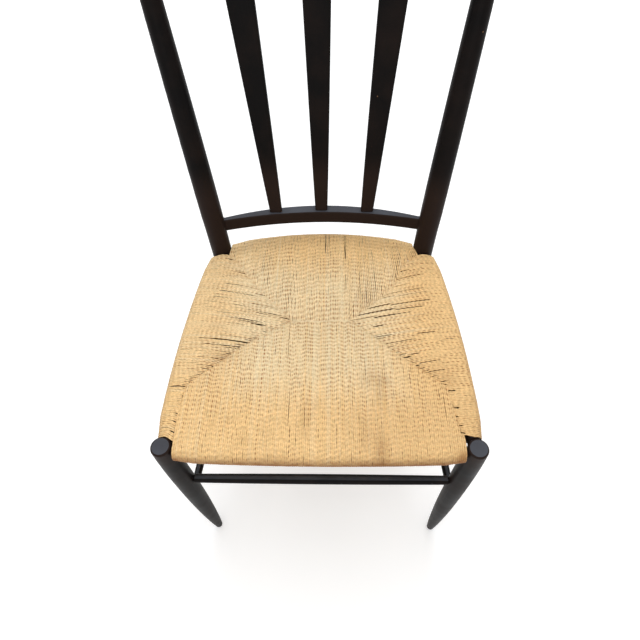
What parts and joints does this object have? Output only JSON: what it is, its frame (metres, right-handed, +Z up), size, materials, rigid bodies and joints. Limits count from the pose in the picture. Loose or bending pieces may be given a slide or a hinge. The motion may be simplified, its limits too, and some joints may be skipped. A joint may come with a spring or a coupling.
{
  "type": "high-back chair",
  "caption": "High-back side chair: tapered turned legs, raked posts with widening slats between a low rail and a crest rail, and a seat woven from twisted paper cord.",
  "frame": {"origin": "on the floor, at the middle of the chair's outline seen from above", "axes": "+Z up, the chair faces -Y, +X is the right-hand side for someone who looks at its front"},
  "size_m": [0.4662, 0.5337, 1.05],
  "materials": {
    "ebonised_wood": "satin ebonised",
    "paper_cord": "twisted natural paper cord, waxed",
    "card": "plain grey-brown card"
  },
  "bodies": {
    "root": {"front_leg_left": "ebonised_wood", "front_leg_right": "ebonised_wood", "back_post_left": "ebonised_wood", "back_post_right": "ebonised_wood", "front_seat_rail": "ebonised_wood", "rear_seat_rail": "ebonised_wood", "left_seat_rail": "ebonised_wood", "right_seat_rail": "ebonised_wood", "front_stretcher": "ebonised_wood", "left_stretcher": "ebonised_wood", "right_stretcher": "ebonised_wood", "rear_stretcher": "ebonised_wood", "lower_back_rail": "ebonised_wood", "crest_rail": "ebonised_wood", "back_slat_left": "ebonised_wood", "back_slat_centre": "ebonised_wood", "back_slat_right": "ebonised_wood", "front_weave": "paper_cord", "rear_weave": "paper_cord", "left_weave": "paper_cord", "right_weave": "paper_cord", "front_card": "card", "rear_card": "card", "left_card": "card", "right_card": "card"}
  },
  "joints": []
}
